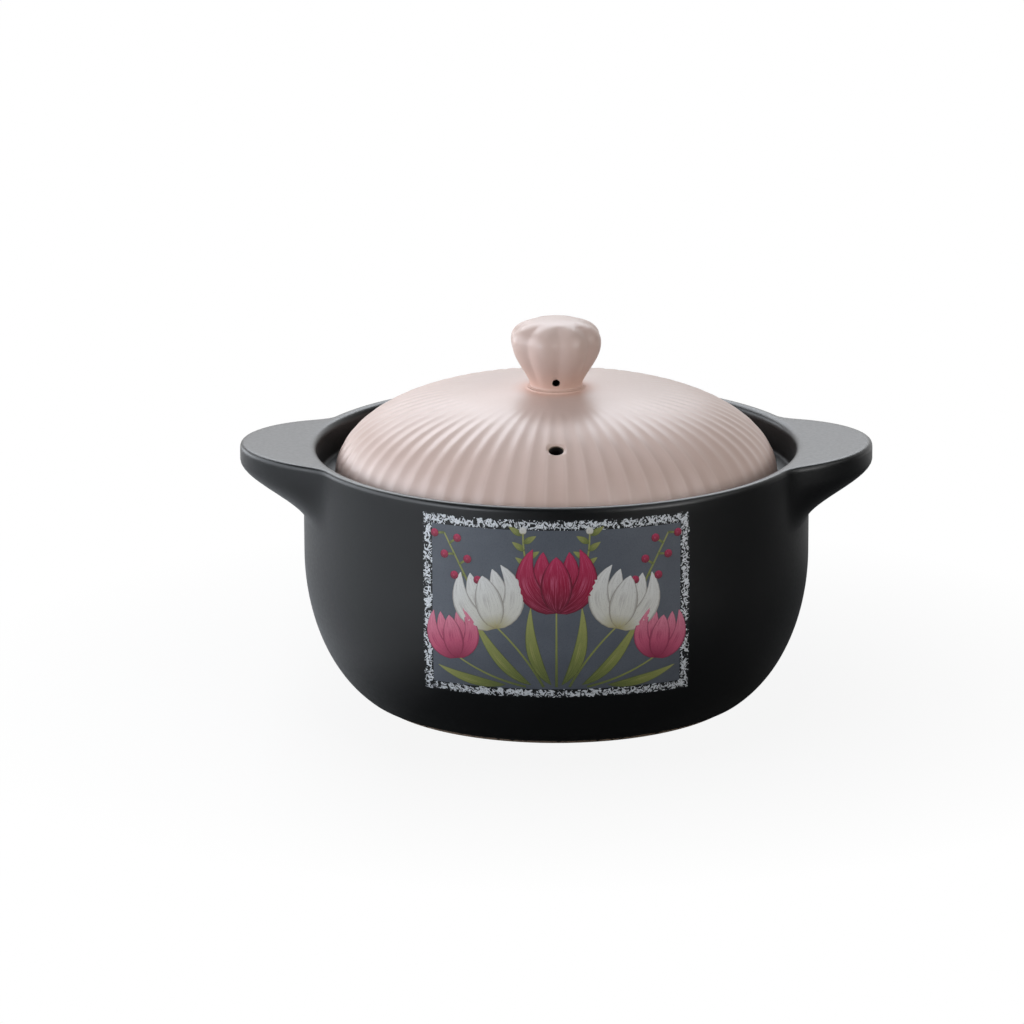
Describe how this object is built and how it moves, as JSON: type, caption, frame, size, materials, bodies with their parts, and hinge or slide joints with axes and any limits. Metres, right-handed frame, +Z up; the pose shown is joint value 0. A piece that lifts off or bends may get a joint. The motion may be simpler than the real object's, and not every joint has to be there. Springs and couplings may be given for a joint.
{
  "type": "casserole pot",
  "caption": "Lidded ceramic casserole pot: round black body with ear handles and a framed front transfer, and a fluted pink dome lid with a hollow lobed knob that lifts off.",
  "frame": {"origin": "middle of the foot ring's underside, on the surface that the pot stands on", "axes": "+X through the right handle, -Y out of the front with the transfer and the lid's vent, +Z up through the knob"},
  "size_m": [0.255, 0.2047, 0.155],
  "materials": {
    "black_glaze": "satin black glaze",
    "pink_glaze": "satin pale pink glaze",
    "slate_transfer": "satin fired-on transfer",
    "speckle_transfer": "satin fired-on transfer"
  },
  "bodies": {
    "pot": {"pot_body": "black_glaze", "left_handle": "black_glaze", "right_handle": "black_glaze", "transfer_border": "speckle_transfer", "transfer_panel": "slate_transfer"},
    "lid": {"lid": "pink_glaze", "knob": "pink_glaze"}
  },
  "joints": [
    {"name": "lid_lift", "type": "slide", "parent": "pot", "child": "lid", "axis": [0, 0, 1], "range_m": [0, 0.15]}
  ]
}
